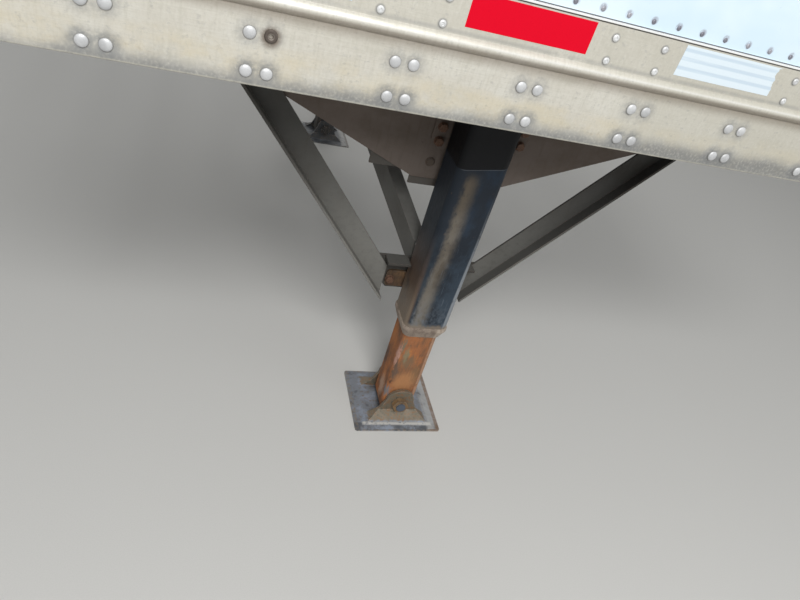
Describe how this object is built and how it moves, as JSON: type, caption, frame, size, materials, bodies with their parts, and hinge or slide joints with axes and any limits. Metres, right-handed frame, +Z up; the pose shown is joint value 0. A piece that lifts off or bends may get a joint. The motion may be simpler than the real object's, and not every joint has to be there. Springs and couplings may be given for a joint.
{
  "type": "semi trailer landing gear",
  "caption": "Landing gear of a semi trailer with braces, cross shaft and crank, under a stretch of floor frame with its side rails and wall feet.",
  "frame": {"origin": "top of the datum floor crossmember, on the trailer's centreline, where the floor boards lie", "axes": "+Z up, +Y across the trailer to the crank side, +X along the trailer to its front"},
  "size_m": [2.2094, 2.75, 1.4445],
  "materials": {
    "rail_aluminium": "mill finish, weathered",
    "wall_white": "gloss white coil coat",
    "post_galvanised": "galvanised",
    "frame_steel": "dark paint, dusty",
    "leg_enamel": "worn black enamel",
    "rusty_steel": "rusted steel",
    "shoe_steel": "worn pressed steel with rust",
    "shaft_steel": "worn steel"
  },
  "bodies": {
    "frame": {"centre_gusset": "frame_steel", "crank_hanger": "frame_steel", "cross_shaft": "shaft_steel", "crossmembers": "frame_steel", "far_backup_angle": "frame_steel", "far_brace_bracket": "frame_steel", "far_front_brace": "frame_steel", "far_inboard_brace": "frame_steel", "far_leg_cap": "leg_enamel", "far_leg_collar": "rusty_steel", "far_leg_flange": "frame_steel", "far_leg_lug": "rusty_steel", "far_outer_leg": "leg_enamel", "far_rear_brace": "frame_steel", "far_shaft_sleeve": "shaft_steel", "far_side_rail": "rail_aluminium", "far_wall_panel": "wall_white", "far_wall_posts": "post_galvanised", "far_wing_angle": "frame_steel", "far_wing_plate": "frame_steel", "gearbox": "leg_enamel", "near_backup_angle": "frame_steel", "near_brace_bracket": "frame_steel", "near_front_brace": "frame_steel", "near_inboard_brace": "frame_steel", "near_leg_cap": "leg_enamel", "near_leg_collar": "rusty_steel", "near_leg_flange": "frame_steel", "near_leg_lug": "rusty_steel", "near_outer_leg": "leg_enamel", "near_rear_brace": "frame_steel", "near_shaft_sleeve": "shaft_steel", "near_side_rail": "rail_aluminium", "near_wall_panel": "wall_white", "near_wall_posts": "post_galvanised", "near_wing_angle": "frame_steel", "near_wing_plate": "frame_steel"},
    "near_leg": {"near_inner_leg": "rusty_steel", "near_foot_axle": "rusty_steel"},
    "near_shoe": {"near_sand_shoe": "shoe_steel"},
    "far_leg": {"far_inner_leg": "rusty_steel", "far_foot_axle": "rusty_steel"},
    "far_shoe": {"far_sand_shoe": "shoe_steel"},
    "crank": {"crank_shaft": "shaft_steel", "crank_handle": "shaft_steel"}
  },
  "joints": [
    {"name": "near_leg_slide", "type": "slide", "parent": "frame", "child": "near_leg", "axis": [0, 0, 1], "range_m": [-0.18, 0.2]},
    {"name": "far_leg_slide", "type": "slide", "parent": "frame", "child": "far_leg", "axis": [0, 0, 1], "range_m": [-0.18, 0.2]},
    {"name": "near_shoe_tilt", "type": "hinge", "parent": "near_leg", "child": "near_shoe", "pos_m": [0.0945, -0.994, -1.0825], "axis": [0, 1, 0], "range_deg": [-12, 12]},
    {"name": "far_shoe_tilt", "type": "hinge", "parent": "far_leg", "child": "far_shoe", "pos_m": [0.0945, 0.994, -1.0825], "axis": [0, 1, 0], "range_deg": [-12, 12]},
    {"name": "crank_turn", "type": "hinge", "parent": "frame", "child": "crank", "pos_m": [0.0945, 1.3175, -0.215], "axis": [0, 1, 0], "continuous": true}
  ],
  "couplings": [
    {"joint": "far_leg_slide", "follows": "near_leg_slide", "ratio": 1}
  ]
}
